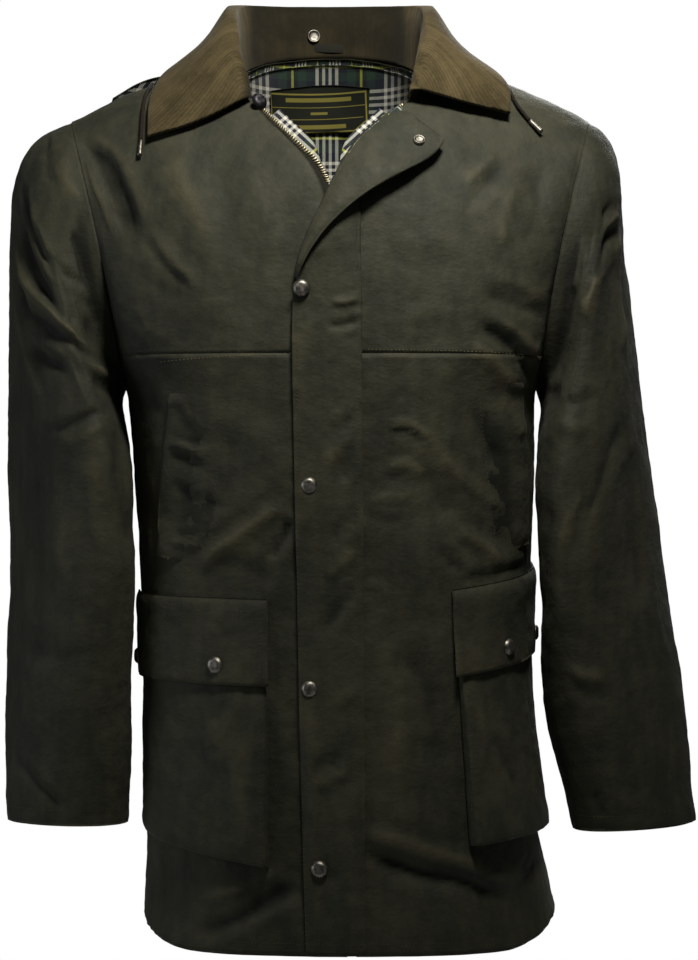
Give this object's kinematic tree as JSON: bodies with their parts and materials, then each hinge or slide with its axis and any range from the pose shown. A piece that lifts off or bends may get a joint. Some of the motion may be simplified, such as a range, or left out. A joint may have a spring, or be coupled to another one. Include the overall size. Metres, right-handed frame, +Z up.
{
  "type": "waxed cotton jacket",
  "caption": "Hip-length waxed cotton field jacket with a corduroy collar, storm flap over a zip, bellows pockets and a hood, filled out as worn.",
  "frame": {"origin": "the middle of the neck hole, level with the root of the collar at the sides, where the wearer's neck and shoulders carry the coat", "axes": "+X towards the wearer's left, -Y out of the wearer's front, +Z up towards the head"},
  "size_m": [0.6401, 0.3061, 0.8657],
  "materials": {
    "waxed_cotton": "waxed, dull sheen",
    "corduroy": "ribbed pile",
    "tartan": "woven check",
    "zip_tape": "matte",
    "label": "woven",
    "cord": "braided",
    "snap_metal": "pewter",
    "dark_metal": "dark"
  },
  "bodies": {
    "jacket": {"front_right": "waxed_cotton", "front_left": "waxed_cotton", "yoke_right": "waxed_cotton", "yoke_left": "waxed_cotton", "back": "waxed_cotton", "sleeve_right": "waxed_cotton", "sleeve_left": "waxed_cotton", "storm_flap": "waxed_cotton", "pocket_right": "waxed_cotton", "pocket_left": "waxed_cotton", "pocket_flap_right": "waxed_cotton", "pocket_flap_left": "waxed_cotton", "welt_right": "waxed_cotton", "welt_left": "waxed_cotton", "hood": "waxed_cotton", "collar": "corduroy", "lining_back": "tartan", "facing_right": "tartan", "facing_left": "tartan", "zip_tape_right": "zip_tape", "zip_tape_left": "zip_tape", "neck_label": "label", "drawcord_right": "cord", "drawcord_left": "cord", "zip_slider": "snap_metal", "cord_tip_right": "snap_metal", "cord_tip_left": "snap_metal", "snap_flap_socket": "snap_metal", "snap_collar_ring": "snap_metal", "snap_storm_1": "snap_metal", "snap_storm_2": "snap_metal", "snap_storm_3": "snap_metal", "snap_storm_4": "snap_metal", "snap_pocket_right_front": "snap_metal", "snap_pocket_right_side": "snap_metal", "snap_pocket_left_front": "snap_metal", "snap_pocket_left_side": "snap_metal", "snap_throat": "dark_metal"},
    "zip_pull": {"zip_pull": "snap_metal"}
  },
  "joints": [
    {"name": "zip_pull_swing", "type": "hinge", "parent": "jacket", "child": "zip_pull", "pos_m": [0.0047, -0.12046, -0.1086], "axis": [-1, 0, 0], "range_deg": [0, 8]}
  ]
}
